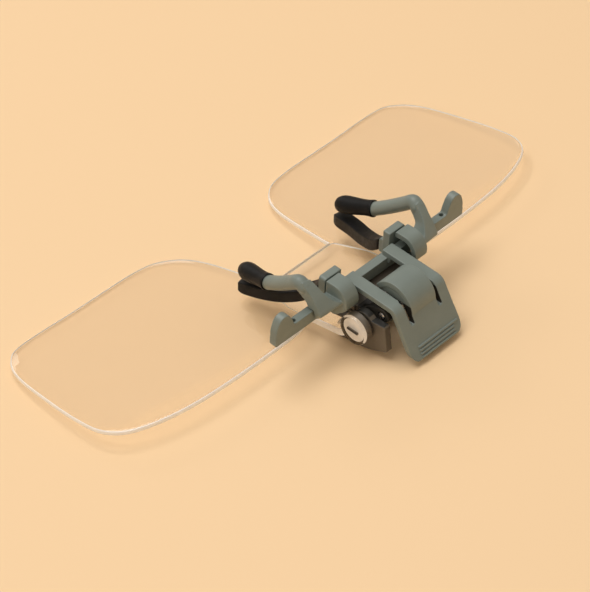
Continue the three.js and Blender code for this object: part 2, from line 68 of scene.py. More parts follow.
def joint_place(name):
    """Where the joint is, in millimetres in the part's frame."""
    for joint in frame["joints"]:
        if joint["name"] == name:
            return Vector(joint["pos_m"]) * 1000


tilt = Matrix.Rotation(CLIP_TILT, 4, "X")
clip_origin = joint_place("lens_flip") - tilt @ Vector((0, *FLIP))
CLIP = Matrix.Scale(MM, 4) @ Matrix.Translation(clip_origin) @ tilt
LENS = CLIP @ Matrix.Translation((0, *HOLDER)) @ Matrix.Rotation(-LENS_DROP, 4, "X")

# ---------------------------------------------------------------- outlines

# The most of an edge that one rounded corner takes up, and the shortest cut worth rounding.
CORNER_SHARE = 0.48
SHORTEST_CUT = 0.01


def fillet(points, radius, steps=6):
    """The closed outline with its corners rounded. A point may carry its own radius."""
    rounded = []
    for i, point in enumerate(points):
        here = Vector(point[:2])
        before = Vector(points[i - 1][:2]) - here
        after = Vector(points[(i + 1) % len(points)][:2]) - here
        size = point[2] if len(point) > 2 else radius
        cut = min(size, CORNER_SHARE * before.length, CORNER_SHARE * after.length)
        if cut < SHORTEST_CUT:
            rounded.append(here)
            continue
        start = here + before.normalized() * cut
        end = here + after.normalized() * cut
        for k in range(steps + 1):
            t = k / steps
            rounded.append((1 - t) ** 2 * start + 2 * t * (1 - t) * here + t * t * end)
    return [tuple(p) for p in rounded]


def arc(centre, radius, start, end, steps):
    """Points from one angle to another, in degrees."""
    angles = [math.radians(start + (end - start) * k / steps) for k in range(steps + 1)]
    return [
        (centre[0] + radius * math.cos(a), centre[1] + radius * math.sin(a)) for a in angles
    ]


def circle(centre, radius, steps=40):
    return arc(centre, radius, 0, 360, steps)[:-1]


def spline(points, count, closed=False):
    """Points along a Catmull-Rom curve through the given ones."""
    at = [Vector(p) for p in points]
    spans = len(at) if closed else len(at) - 1
    result = []
    for k in range(count if closed else count + 1):
        u = k / count * spans
        i = min(int(u), spans - 1)
        t = u - i
        if closed:
            a, b, c, d = (at[(i + j) % len(at)] for j in (-1, 0, 1, 2))
        else:
            b, c = at[i], at[i + 1]
            a = at[i - 1] if i else 2 * b - c
            d = at[i + 2] if i + 2 < len(at) else 2 * c - b
        result.append(
            0.5 * (2 * b + (c - a) * t + (2 * a - 5 * b + 4 * c - d) * t * t
                   + (3 * b - a - 3 * c + d) * t ** 3)
        )
    return result


def mirrored(points, side):
    return [(side * p[0], *p[1:]) for p in points]


# ---------------------------------------------------------------- solids

# A turned body stops just short of its axis, so that its end rings keep their corners.
AXIS_GAP = 0.02
BALL_LATITUDES = (84, 66, 48, 30, 14)
VOXEL = 0.12


def solid(vertices, faces):
    """A closed mesh object with its faces pointing out."""
    mesh = bpy.data.meshes.new("solid")
    mesh.from_pydata([tuple(v) for v in vertices], [], faces)
    obj = bpy.data.objects.new("solid", mesh)
    scene.collection.objects.link(obj)
    if signed_volume(mesh) < 0:
        mesh.flip_normals()
    return obj


def signed_volume(mesh):
    total = 0.0
    mesh.calc_loop_triangles()
    for triangle in mesh.loop_triangles:
        a, b, c = (mesh.vertices[i].co for i in triangle.vertices)
        total += a.dot(b.cross(c))
    return total


def loft(rings):
    """A body drawn through closed rings of equal length, capped at both ends."""
    n = len(rings[0])
    vertices = [v for ring in rings for v in ring]
    faces = []
    for r in range(len(rings) - 1):
        for i in range(n):
            a, b = r * n + i, r * n + (i + 1) % n
            faces.append((a, b, b + n, a + n))
    faces.append(tuple(range(n - 1, -1, -1)))
    faces.append(tuple(range(len(vertices) - n, len(vertices))))
    return solid(vertices, faces)


def prism(outline, low, high, axis="X"):
    """An outline drawn out along an axis; it is in (y, z), (x, z) or (x, y)."""
    place = {
        "X": lambda p, t: (t, p[0], p[1]),
        "Y": lambda p, t: (p[0], t, p[1]),
        "Z": lambda p, t: (p[0], p[1], t),
    }[axis]
    return loft([[place(p, low) for p in outline], [place(p, high) for p in outline]])


def span(side, near, far):
    """The same stretch of x on the left (-1) or the right (1)."""
    return (near, far) if side > 0 else (-far, -near)


def block(x, y, z):
    return prism([(y[0], z[0]), (y[1], z[0]), (y[1], z[1]), (y[0], z[1])], x[0], x[1])


def sweep(path, radius, sides, rounded=False):
    """A round body along a path. rounded gives it ball ends."""
    path = [Vector(p) for p in path]
    radii = [radius] * len(path)
    tangents = []
    for i in range(len(path)):
        ahead = path[min(i + 1, len(path) - 1)] - path[max(i - 1, 0)]
        tangents.append(ahead.normalized())
    if rounded:
        path, radii, tangents = ball_ends(path, radii, tangents)
    across = tangents[0].orthogonal().normalized()
    rings = []
    for place, size, ahead in zip(path, radii, tangents):
        across = (across - ahead * across.dot(ahead)).normalized()
        up = ahead.cross(across)
        rings.append([
            place + size * (across * math.cos(a) + up * math.sin(a))
            for a in (2 * math.pi * k / sides for k in range(sides))
        ])
    return loft(rings)


def ball_ends(path, radii, tangents):
    steps = [math.radians(a) for a in BALL_LATITUDES]
    head = [(path[0] - tangents[0] * radii[0] * math.sin(a), radii[0] * math.cos(a),
             tangents[0]) for a in steps]
    tail = [(path[-1] + tangents[-1] * radii[-1] * math.sin(a), radii[-1] * math.cos(a),
             tangents[-1]) for a in reversed(steps)]
    whole = head + list(zip(path, radii, tangents)) + tail
    return [w[0] for w in whole], [w[1] for w in whole], [w[2] for w in whole]


def lathe(profile, start, direction, sides):
    """A turned body: profile is (radius, distance along) from one end to the other."""
    axis = Vector(direction).normalized()
    across = axis.orthogonal().normalized()
    up = axis.cross(across)
    origin = Vector(start)
    rings = []
    for radius, along in profile:
        radius = max(radius, AXIS_GAP)
        rings.append([
            origin + axis * along + radius * (across * math.cos(a) + up * math.sin(a))
            for a in (2 * math.pi * k / sides for k in range(sides))
        ])
    return loft(rings)


def combined(base, others, operation):
    """base joined with, cut by or kept inside the others. The others are used up."""
    for other in others:
        modifier = base.modifiers.new("bool", "BOOLEAN")
        modifier.operation = operation
        modifier.solver = "EXACT"
        modifier.object = other
    applied(base)
    for other in others:
        bpy.data.objects.remove(other)
    return base


def applied(obj):
    graph = bpy.context.evaluated_depsgraph_get()
    graph.update()
    mesh = bpy.data.meshes.new_from_object(obj.evaluated_get(graph))
    obj.modifiers.clear()
    obj.data = mesh
    return obj


def union(*solids):
    return combined(solids[0], solids[1:], "UNION")


def joined(*solids):
    """One mesh that still holds every solid whole."""
    vertices, faces = [], []
    for one in solids:
        first = len(vertices)
        vertices += [v.co.copy() for v in one.data.vertices]
        faces += [tuple(first + i for i in face.vertices) for face in one.data.polygons]
        bpy.data.objects.remove(one)
    return solid(vertices, faces)


def cut(base, *cutters):
    return combined(base, cutters, "DIFFERENCE")


def kept(base, *masks):
    return combined(base, masks, "INTERSECT")


def moulded(obj, rounds=2):
    """Melts the piece into one skin and softens every edge the way a moulding's are."""
    remesh = obj.modifiers.new("remesh", "REMESH")
    remesh.mode = "VOXEL"
    remesh.voxel_size = VOXEL
    smooth = obj.modifiers.new("smooth", "SMOOTH")
    smooth.factor = 0.5
    smooth.iterations = rounds
    return applied(obj)


def bevelled(obj, width):
    bevel = obj.modifiers.new("bevel", "BEVEL")
    bevel.width = width
    bevel.segments = 3
    bevel.limit_method = "ANGLE"
    bevel.angle_limit = math.radians(50)
    return applied(obj)


def placed(obj, name, where, material, body, smooth_angle=None):
    """The finished piece, in the part's frame, standing for the CAD node of its name."""
    obj.name = name + "_look"
    obj.data.name = obj.name
    obj.data.transform(where)
    obj.data.materials.clear()
    for one in material if isinstance(material, list) else [material]:
        obj.data.materials.append(one)
    obj.data.shade_smooth()
    if smooth_angle:
        obj.data.set_sharp_from_angle(angle=math.radians(smooth_angle))
    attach(obj, body)
    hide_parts(name)
    return obj


def paint_faces(obj, where, test, index):
    """Gives the faces that pass the test another of the piece's materials.

    The test is asked with each face's middle and normal in the piece's own frame.
    """
    back = where.inverted()
    turn = where.to_3x3().transposed()
    for polygon in obj.data.polygons:
        if test(back @ polygon.center, (turn @ polygon.normal).normalized()):
            polygon.material_index = index


# ---------------------------------------------------------------- materials

# The part of a noise's range that colours and roughness are spread over.
NOISE_LOW, NOISE_HIGH = 0.3, 0.7
ACRYLIC_IOR = 1.49
# Light still inside the acrylic after more bounces than this is let out.
MOST_BOUNCES = 2.5


def node_material(name):
    material = bpy.data.materials.new(name)
    material.use_nodes = True
    tree = material.node_tree
    shader = tree.nodes["Principled BSDF"]
    return material, tree, shader


def noise(tree, scale, detail, roughness=0.5, stretch=(1, 1, 1)):
    """Noise over the piece; scale is in features per metre."""
    coords = tree.nodes.new("ShaderNodeTexCoord")
    mapping = tree.nodes.new("ShaderNodeMapping")
    mapping.inputs["Scale"].default_value = stretch
    texture = tree.nodes.new("ShaderNodeTexNoise")
    texture.inputs["Scale"].default_value = scale
    texture.inputs["Detail"].default_value = detail
    texture.inputs["Roughness"].default_value = roughness
    tree.links.new(coords.outputs["Object"], mapping.inputs["Vector"])
    tree.links.new(mapping.outputs["Vector"], texture.inputs["Vector"])
    return texture.outputs["Fac"]


def ramp(tree, value, low, high):
    """A colour between two, by the noise."""
    node = tree.nodes.new("ShaderNodeValToRGB")
    node.color_ramp.elements[0].position = NOISE_LOW
    node.color_ramp.elements[0].color = (*low, 1)
    node.color_ramp.elements[1].position = NOISE_HIGH
    node.color_ramp.elements[1].color = (*high, 1)
    tree.links.new(value, node.inputs["Fac"])
    return node.outputs["Color"]


def spread(tree, value, low, high):
    """A number between two, by the noise."""
    node = tree.nodes.new("ShaderNodeMapRange")
    node.inputs["From Min"].default_value = NOISE_LOW
    node.inputs["From Max"].default_value = NOISE_HIGH
    node.inputs["To Min"].default_value = low
    node.inputs["To Max"].default_value = high
    tree.links.new(value, node.inputs["Value"])
    return node.outputs["Result"]


def bump(tree, shader, value, strength, distance):
    node = tree.nodes.new("ShaderNodeBump")
    node.inputs["Strength"].default_value = strength
    node.inputs["Distance"].default_value = distance
    tree.links.new(value, node.inputs["Height"])
    tree.links.new(node.outputs["Normal"], shader.inputs["Normal"])


def moulded_plastic(name, low, high, rough, grain):
    """Moulded plastic: faint flow marks in the colour, a spark-eroded grain."""
    material, tree, shader = node_material(name)
    flow = noise(tree, 160, 4, 0.55, (1, 1, 2))
    tree.links.new(ramp(tree, flow, low, high), shader.inputs["Base Color"])
    tree.links.new(spread(tree, noise(tree, 900, 3), *rough), shader.inputs["Roughness"])
    shader.inputs["Specular IOR Level"].default_value = 0.5
    bump(tree, shader, noise(tree, 7000, 2, 0.6), grain, 0.00004)
    return material


def rubber(name):
    material, tree, shader = node_material(name)
    tree.links.new(
        ramp(tree, noise(tree, 350, 4), (0.006, 0.0055, 0.0055), (0.010, 0.0095, 0.0095)),
        shader.inputs["Base Color"])
    tree.links.new(spread(tree, noise(tree, 1200, 3), 0.40, 0.55), shader.inputs["Roughness"])
    shader.inputs["Specular IOR Level"].default_value = 0.2
    bump(tree, shader, noise(tree, 5200, 3, 0.6), 0.25, 0.00005)
    return material


def bright_steel(name):
    """Steel with fine drawn lines."""
    material, tree, shader = node_material(name)
    tone = 0.62
    lines = noise(tree, 2600, 2, 0.5, (0.12, 1, 1))
    low, high = (tone * 0.85,) * 3, (tone, tone, tone * 1.02)
    tree.links.new(ramp(tree, lines, low, high), shader.inputs["Base Color"])
    tree.links.new(spread(tree, lines, 0.18, 0.34), shader.inputs["Roughness"])
    shader.inputs["Metallic"].default_value = 1.0
    bump(tree, shader, lines, 0.12, 0.00002)
    return material


def clear_acrylic(name, tint, roughness, wear):
    """Cast acrylic. Its shadow stays light, and light trapped in the sheet is let out."""
    material, tree, shader = node_material(name)
    shader.inputs["Base Color"].default_value = (*tint, 1)
    shader.inputs["Transmission Weight"].default_value = 1.0
    shader.inputs["IOR"].default_value = ACRYLIC_IOR
    tree.links.new(
        spread(tree, noise(tree, 420, 5, 0.6), roughness, roughness + 0.012),
        shader.inputs["Roughness"])
    bump(tree, shader, noise(tree, 1400, 4, 0.6), wear, 0.00003)
    through = tree.nodes.new("ShaderNodeBsdfTransparent")
    through.inputs["Color"].default_value = (0.985, 0.965, 0.94, 1)
    path = tree.nodes.new("ShaderNodeLightPath")
    trapped = tree.nodes.new("ShaderNodeMath")
    trapped.operation = "GREATER_THAN"
    trapped.inputs[1].default_value = MOST_BOUNCES
    tree.links.new(path.outputs["Ray Depth"], trapped.inputs[0])
    passing = [path.outputs["Is Shadow Ray"], path.outputs["Is Diffuse Ray"],
               trapped.outputs["Value"]]
    surface = shader.outputs["BSDF"]
    for ray in passing:
        mix = tree.nodes.new("ShaderNodeMixShader")
        tree.links.new(ray, mix.inputs["Fac"])
        tree.links.new(surface, mix.inputs[1])
        tree.links.new(through.outputs["BSDF"], mix.inputs[2])
        surface = mix.outputs["Shader"]
    tree.links.new(surface, tree.nodes["Material Output"].inputs["Surface"])
    return material


def painted_rim_highlight(name):
    """The saw-cut, flame-polished rim of the sheet, with a painted highlight: its pale base
    colour stands in for the light the edge gathers.
    """
    material, tree, shader = node_material(name)
    tree.links.new(
        ramp(tree, noise(tree, 500, 3), (0.93, 0.93, 0.92), (0.98, 0.98, 0.97)),
        shader.inputs["Base Color"])
    tree.links.new(spread(tree, noise(tree, 900, 3), 0.28, 0.4), shader.inputs["Roughness"])
    shader.inputs["Transmission Weight"].default_value = 0.35
    shader.inputs["IOR"].default_value = ACRYLIC_IOR
    return material


def frosted(name):
    """The moulded end face of a knob."""
    material, tree, shader = node_material(name)
    tree.links.new(
        ramp(tree, noise(tree, 900, 4), (0.86, 0.84, 0.80), (0.95, 0.93, 0.90)),
        shader.inputs["Base Color"])
    tree.links.new(spread(tree, noise(tree, 1500, 3), 0.35, 0.5), shader.inputs["Roughness"])
    bump(tree, shader, noise(tree, 6000, 2), 0.2, 0.00004)
    return material


GREY = moulded_plastic(
    "grey_plastic", (0.190, 0.226, 0.204), (0.214, 0.252, 0.228), (0.36, 0.46), 0.22)
DARK = moulded_plastic(
    "dark_plastic", (0.118, 0.098, 0.074), (0.140, 0.118, 0.090), (0.34, 0.46), 0.22)
RUBBER = rubber("black_rubber")
# Painted shade: near-black, put on grey and dark mouldings where they lie in deep shade.
PAINTED_SHADE = moulded_plastic(
    "painted_shade_plastic", (0.018, 0.017, 0.014), (0.026, 0.025, 0.021), (0.40, 0.50), 0.22)
STEEL = bright_steel("steel")
ACRYLIC = clear_acrylic("lens_acrylic", (1.0, 0.993, 0.98), 0.0, 0.02)
# Painted highlight for the lens plate's edge.
RIM_HIGHLIGHT = painted_rim_highlight("lens_rim_highlight")
KNOB_SIDE = clear_acrylic("knob_acrylic", (0.96, 0.96, 0.95), 0.03, 0.08)
KNOB_FACE = frosted("knob_face")

# ---------------------------------------------------------------- squeeze lever

BAR = (0.0, 1.7)
BAR_BOTTOM = -2.85
RAIL = (4.1, 6.9)
RAIL_TOP = 1.35
BEND_Y = -11.8
PLATE_BOTTOM = -8.7
PLATE_LEAN = math.radians(31.5)
PLATE_THICKNESS = 1.3
SLOT_MIDDLE = 3.9
SLOT_HALF = 0.5
SLOT_BOTTOM = -2.6
ARCH_CENTRE = (-8.4, -1.4)
TONGUE_HALF = 3.4
TONGUE_ROOT = -3.4
RIB_TOP = -6.35
RIB_PITCH = 0.62
LUG_RADIUS = 1.9
PIN_BORE = 0.95


def plate_y(z):
    """The thumb plate's outer face at a height."""
    return BEND_Y - (RAIL_TOP - z) * math.tan(PLATE_LEAN)


def crossbar():
    """The bar with a hook at each end and a small blind hole before each hook."""
    end = [
        (21.5, 0, 0.5), (22.0, 1.5, 0.9), (22.9, 3.2, 0.8), (24.0, 3.75, 0.9),
        (25.3, 3.3, 1.0), (26.3, 1.2, 1.2), (26.5, BAR_BOTTOM, 0.5),
    ]
    outline = end + [(-x, z, r) for x, z, r in reversed(end)]
    bar = prism(fillet(outline, 0.5), *BAR, "Y")
    holes = [
        lathe([(0.45, 0), (0.45, 2)], (side * 20.9, 0.95, -1.2), (0, 0, 1), 20)
        for side in SIDES
    ]
    return cut(bar, *holes)


def thumb_plate():
    """The rails and the plate they bend down into, with the window and the two slots."""
    inner = PLATE_THICKNESS / math.cos(PLATE_LEAN)
    under = RAIL_TOP - 1.2
    side = [
        (1.45, RAIL_TOP, 0.3), (BEND_Y, RAIL_TOP, 1.3),
        (plate_y(PLATE_BOTTOM), PLATE_BOTTOM, 0.4),
        (plate_y(PLATE_BOTTOM) + inner, PLATE_BOTTOM, 0.4),
        (plate_y(under) + inner, under, 0.6), (1.45, under, 0.1),
    ]
    half = RAIL[1]
    front = [
        (-half, 3, 0), (-half - 0.1, PLATE_BOTTOM, 2.3), (half + 0.1, PLATE_BOTTOM, 2.3),
        (half, 3, 0),
    ]
    plate = kept(
        prism(fillet(side, 0.4), -half - 1, half + 1),
        prism(fillet(front, 1, 10), -25, 5, "Y"))
    window = block((-RAIL[0], RAIL[0]), (-11.0, 3), (-1, 3))
    slots = []
    for middle in (-SLOT_MIDDLE, SLOT_MIDDLE):
        near, far = middle - SLOT_HALF, middle + SLOT_HALF
        slot = [
            (near, 3, 0), (near, SLOT_BOTTOM, 0.45), (far, SLOT_BOTTOM, 0.45), (far, 3, 0),
        ]
        slots.append(prism(fillet(slot, 0.3), -18, -10.5, "Y"))
    return cut(plate, window, *slots)


def tongue():
    """The arched strip between the slots, which covers the spring."""
    outer, inner = 4.95, 3.75
    join = plate_y(TONGUE_ROOT)
    outline = (
        arc(ARCH_CENTRE, outer, 27, 176, 40)
        + [(join, TONGUE_ROOT), (join + PLATE_THICKNESS, TONGUE_ROOT)]
        + arc(ARCH_CENTRE, inner, 178, 24, 36)
    )
    return prism(outline, -TONGUE_HALF, TONGUE_HALF)


def skirt(side):
    """A thin wall that closes one side of the tongue's arch."""
    outline = arc(ARCH_CENTRE, 4.1, 24.5, 155.5, 30)
    return prism(outline, *span(side, 3.0, 3.25))


def grip_ribs():
    """Four ribs across the plate; the top one runs further to the right."""
    ribs = []
    for i, reach in enumerate((6.0, 4.8, 4.8, 4.8)):
        z = RIB_TOP - i * RIB_PITCH
        y = plate_y(z) - 0.03
        ribs.append(sweep([(-4.5, y, z), (reach, y, z)], 0.27, 12, True))
    return ribs


def lever_lug(side):
    outline = [
        (PIVOT[0] - LUG_RADIUS, 0.6), (PIVOT[0] - LUG_RADIUS, PIVOT[1]),
        *arc(PIVOT, LUG_RADIUS, 180, 360, 20), (PIVOT[0] + LUG_RADIUS, 0.6),
    ]
    return prism(outline, *span(side, 4.15, 5.3))


def thumb_lever():
    web = [(-0.9, 0.3, 0.1), (-0.5, -1.2, 0.3), (1.3, -1.2, 0.1), (1.3, 0.3, 0.1)]
    roots = [prism(fillet(web, 0.2), *span(side, 4.15, RAIL[1])) for side in SIDES]
    lugs = [lever_lug(side) for side in SIDES]
    body = union(
        crossbar(), thumb_plate(), tongue(), skirt(LEFT), skirt(RIGHT), *roots, *lugs)
    bore = prism(circle(PIVOT, PIN_BORE), -6, 6)
    body = moulded(cut(body, bore))
    ribs = union(*grip_ribs())
    return union(body, ribs)


# ---------------------------------------------------------------- upper arms

SLEEVE_START = Vector((15.0, 13.4, -2.6))
SLEEVE_END = Vector((13.75, 20.3, -5.1))


def hub(side):
    """The rounded box that grips the bar, hollow on its inner side."""
    outline = [
        (1.6, 3.35, 0.35), (-2.2, 3.45, 2.6), (-3.9, 1.0, 1.9), (-3.8, -1.1, 0.6),
        (-0.9, -3.9, 0.5), (1.3, -3.9, 0.4), (1.6, -3.2, 0.3),
    ]
    body = prism(fillet(outline, 0.3), *span(side, 8.0, 11.5))
    hollow = [
        (1.9, 1.9), *arc((-0.6, 0.0), 2.2, 80, 188, 20), (-2.3, -1.3), (-0.6, -3.1),
        (1.9, -3.1),
    ]
    return cut(body, prism(hollow, *span(side, 7.0, 10.7)))


def web(side):
    """The web sweeps up from the crossbar to the elbow, narrowing as it goes."""
    steps = 24
    stations = [
        [(11.2, -2.7, 0.2), (16.2, -1.8, -0.9), (16.2, 0.5, -2.9), (11.2, 0.5, -2.9)],
        [(11.3, -2.9, 0.7), (16.6, -2.0, -0.2), (16.7, 1.0, -0.5), (11.3, 1.4, 0.2)],
        [(12.8, -1.9, 1.5), (16.6, -0.9, 1.6), (16.8, 1.4, 0.9), (12.9, 1.5, 0.9)],
        [(13.9, -0.6, 2.9), (16.6, 0.4, 3.2), (16.8, 2.5, 1.9), (14.1, 1.9, 1.7)],
        [(14.5, 1.1, 4.5), (16.8, 1.7, 4.5), (17.0, 3.5, 2.8), (14.6, 3.2, 2.8)],
        [(14.9, 2.5, 5.5), (16.8, 2.8, 5.5), (17.0, 4.6, 3.5), (14.9, 4.4, 3.5)],
    ]
    corners = [spline([station[c] for station in stations], steps) for c in range(4)]
    return loft([mirrored([edge[k] for edge in corners], side) for k in range(steps + 1)])


def upper_arm(side):
    """Hub, web and rod, with the core that the rubber sleeve is pushed over."""
    route = spline([
        (15.9, 3.0, 4.0), (16.05, 4.3, 4.35), (15.85, 6.2, 2.8), (15.5, 9.6, 0.05),
        tuple(SLEEVE_START + Vector((0, -0.2, 0.07))),
    ], 36)
    rod = sweep(mirrored(route, side), 1.46, 24, True)
    core = sweep(mirrored([SLEEVE_START, SLEEVE_END], side), 1.1, 20)
    on_bar = [
        cut(body(side), block(span(side, 5, 24), (-0.3, 3), (BAR_BOTTOM - 0.3, 0.3)))
        for body in (hub, web)
    ]
    return moulded(joined(*on_bar, rod, core), 3)


def upper_tip(side):
    """A rubber sleeve with a lip, swelling towards its rounded end."""
    direction = (SLEEVE_END - SLEEVE_START).normalized()
    outer = [
        (1.42, -0.2), (1.66, -0.22), (1.76, -0.1), (1.78, 0.2), (1.68, 0.9), (1.64, 1.8),
        (1.66, 2.8), (1.74, 4.0), (1.84, 5.2), (1.92, 6.2), (1.9, 7.2), (1.74, 8.0),
        (1.42, 8.7), (0.95, 9.15), (0.45, 9.35), (0, 9.4),
    ]
    start = Vector((side * SLEEVE_START.x, SLEEVE_START.y, SLEEVE_START.z))
    heading = (side * direction.x, direction.y, direction.z)
    shell = lathe(outer, start, heading, 56)
    bore = lathe([(1.3, -1.0), (1.3, 7.7)], start, heading, 40)
    mouth = lathe([(1.56, -1.5), (1.56, -0.02)], start, heading, 40)
    return cut(shell, bore, mouth)


# ---------------------------------------------------------------- clip base and lower claws

CLAW = [
    (8.3, 4.0, -1.3), (9.6, 7.8, -4.7), (11.3, 12.0, -7.0), (12.8, 16.5, -8.3),
    (13.9, 21.9, -9.4),
]
NECK_TOP, NECK_BOTTOM = -3.4, -4.75
BOLT_BORE = 1.1


def base_lug(side):
    outline = [
        (PIVOT[0] - LUG_RADIUS, PIVOT[1], 0),
        *[(y, z, 0) for y, z in arc(PIVOT, LUG_RADIUS, 180, 60, 20)],
        (FLIP[0] + 0.4, -1.6, 0.6), (-3.4, NECK_TOP, 0.3), (3.1, NECK_TOP, 0.1),
        (3.1, NECK_BOTTOM, 0.1), (-3.4, NECK_BOTTOM, 0.6), (FLIP[0], FLIP[1] - 2.1, 0.9),
        (PIVOT[0], PIVOT[1] - LUG_RADIUS, 0.8),
    ]
    return prism(fillet(outline, 0.4), *span(side, 5.6, 6.85))


def ear(side):
    """The block that stands behind the crossbar."""
    outline = [
        (6.8, NECK_BOTTOM, 0.3), (6.8, 3.1, 0.25), (11.3, 3.1, 0.7), (11.3, NECK_BOTTOM, 0.5),
    ]
    return prism(mirrored(fillet(outline, 0.3), side), 2.0, 3.7, "Y")


def claw_root(side):
    outline = [(3.4, 0.6, 0.1), (4.7, 0.4, 0.5), (4.7, -3.0, 0.4), (3.4, -3.0, 0.1)]
    return prism(fillet(outline, 0.3), *span(side, 6.9, 9.3))


def clip_base():
    neck = block((-6.8, 6.8), (-4.2, 3.6), (NECK_BOTTOM, NECK_TOP))
    neck_web = block((-7.5, 7.5), (-2.3, 2.6), (-4.6, -3.5))
    crossing = prism(
        fillet([(2.0, NECK_BOTTOM), (3.7, NECK_BOTTOM), (3.7, -2.5), (2.0, -2.5)], 0.2),
        -11.2, 11.2)
    prongs = [sweep(spline(mirrored(CLAW[:4], side), 24), 0.75, 12) for side in SIDES]
    sides = [make(side) for side in SIDES for make in (base_lug, ear, claw_root)]
    body = union(neck, neck_web, crossing, *sides, *prongs)
    bores = [
        prism(circle(PIVOT, PIN_BORE), -8, 8), prism(circle(FLIP, BOLT_BORE), -8, 8)
    ]
    return moulded(cut(body, *bores))


def lower_pad(side):
    """A rubber strip on edge, bowed outwards, with a softly rounded section."""
    steps = 40
    swells = [0.93, 0.99] + [1.0] * 36 + [0.97, 0.9, 0.76]
    centre = spline([(8.65, 5.0, -2.1), *CLAW[1:]], steps)
    section = fillet([(-1.45, -1.5), (1.45, -1.5), (1.45, 1.4), (-1.45, 1.4)], 0.28, 4)
    rings = []
    for k, at in enumerate(centre):
        ahead = centre[min(k + 1, steps)] - centre[max(k - 1, 0)]
        across = Vector((ahead.y, -ahead.x, 0)).normalized()
        rings.append([
            (side * (at.x + across.x * a * swells[k]), at.y + across.y * a * swells[k],
             at.z + b * swells[k])
            for a, b in section
        ])
    strip = loft(rings)
    bore = sweep(spline(mirrored(CLAW[:4], side), 24), 0.85, 12, True)
    return cut(strip, bore)


# ---------------------------------------------------------------- hinge pieces

THREAD_BORE = 1.02
CORE_RADIUS = 2.6
CORE_FACE = 10.8
KNOB_SLOT_FLOOR = 11.2


def turned_along_x(profile, centre, side):
    """A turned body on an axis along X; distances are |x|."""
    return lathe(profile, (0, *centre), (side, 0, 0), 64)


def pivot_pin():
    profile = [
        (0, -6.85), (0.55, -6.85), (0.75, -6.7), (0.75, 6.7), (0.55, 6.85), (0, 6.85),
    ]
    return lathe(profile, (0, *PIVOT), (1, 0, 0), 32)


def torsion_spring():
    """A coil round the pin, with a leg under the thumb plate and a free front leg."""
    turns, per_turn, half, radius = 6, 28, 2.6, 1.9
    coil = []
    for i in range(turns * per_turn + 1):
        angle = math.pi / 2 + 2 * math.pi * i / per_turn
        coil.append((
            -half + 2 * half * i / (turns * per_turn),
            PIVOT[0] + radius * math.cos(angle), PIVOT[1] + radius * math.sin(angle)))
    first = [(-half, -4.6, -1.25), (-half, -6.6, -0.6)]
    last = [(half, -10.4, -0.45), (half, -11.4, -0.8)]
    return sweep(first + coil + last, 0.32, 10, True)


def bolt(side):
    return turned_along_x(
        [(0, 5.6), (0.7, 5.6), (0.9, 5.8), (0.9, 10.3), (0.75, 10.45), (0, 10.45)],
        FLIP, side)


def washer(side):
    rim = 2.4 if side == LEFT else 1.9
    disc = turned_along_x(
        [(0, 8.85), (rim - 0.1, 8.85), (rim, 8.92), (rim, 9.08), (rim - 0.1, 9.15),
         (0, 9.15)],
        FLIP, side)
    return cut(disc, turned_along_x([(BOLT_BORE, 8), (BOLT_BORE, 10)], FLIP, side))


def nut():
    """A small hexagon nut on the right bolt, with its corners turned off."""
    blank = prism(
        [(FLIP[0] + 1.6 * math.cos(a), FLIP[1] + 1.6 * math.sin(a))
         for a in (math.pi / 3 * k for k in range(6))], 9.3, 10.3)
    corners = turned_along_x(
        [(0, 9.2), (1.62, 9.2), (1.62, 10.12), (1.3, 10.3), (0, 10.3)], FLIP, RIGHT)
    bore = turned_along_x([(THREAD_BORE, 9), (THREAD_BORE, 11)], FLIP, RIGHT)
    return cut(kept(blank, corners), bore)


def knob():
    """The left bolt's clear wheel, moulded round an opaque core with a pale end face."""
    wheel = turned_along_x([
        (0, 9.3), (2.95, 9.3), (3.15, 9.4), (3.25, 9.6), (3.25, 11.5), (3.18, 11.68),
        (3.02, 11.8), (0, 11.8),
    ], FLIP, LEFT)
    core = turned_along_x([
        (0, 9.45), (2.5, 9.45), (CORE_RADIUS, 9.55), (CORE_RADIUS, CORE_FACE), (0, CORE_FACE),
    ], FLIP, LEFT)
    slot = prism(fillet([
        (FLIP[0] - 1.4, FLIP[1] - 0.3), (FLIP[0] + 1.4, FLIP[1] - 0.3),
        (FLIP[0] + 1.4, FLIP[1] + 0.3), (FLIP[0] - 1.4, FLIP[1] + 0.3),
    ], 0.25), *span(LEFT, KNOB_SLOT_FLOOR, 13))
    bores = [
        turned_along_x([(THREAD_BORE, 8), (THREAD_BORE, 10.6)], FLIP, LEFT) for _ in range(2)
    ]
    return joined(cut(wheel, slot, bores[0]), cut(core, bores[1]))


# ---------------------------------------------------------------- lens holder

CHEEK_RADIUS = 2.65
SCREW = (3.6, 5.2)
SCREW_CLEARANCE = 0.75


def screw_hole(side, radius, low, steps=24):
    """A cutter for a hole from low up past the cap, where a screw stands."""
    return prism(circle((side * SCREW[0], SCREW[1]), radius, steps), low, 0, "Z")


def holder():
    """Two cheeks on the bolts, and the jaw that the lens tab lies in."""
    outline = [
        (7.9, -7.1, 0.3), (7.9, -1.75, 0.4), (HINGE[0] + CHEEK_RADIUS, -1.25, 0.2),
        *[(y, z, 0) for y, z in arc(HINGE, CHEEK_RADIUS, 0, 150, 24)],
        (-5.15, 0.28, 0.15), (-5.45, -0.05, 0.2), (-5.15, -5.75, 0.25), (-0.6, -6.95, 0.5),
        (0.6, -7.1, 0.3),
    ]
    cheeks = [prism(fillet(outline, 0.3), *span(side, 7.15, 8.7)) for side in SIDES]
    jaw = prism(
        fillet([(3.0, -7.1), (7.9, -7.1), (7.9, -4.3), (3.0, -4.3)], 0.3), -8.6, 8.6)
    mouth = block((-20, 20), (2.9, 12), (-4.3, -2.1))
    bores = [prism(circle(HINGE, BOLT_BORE), -12, 12)] + [
        screw_hole(side, 0.7, -6.4) for side in SIDES
    ]
    return moulded(cut(union(jaw, *cheeks), mouth, *bores))


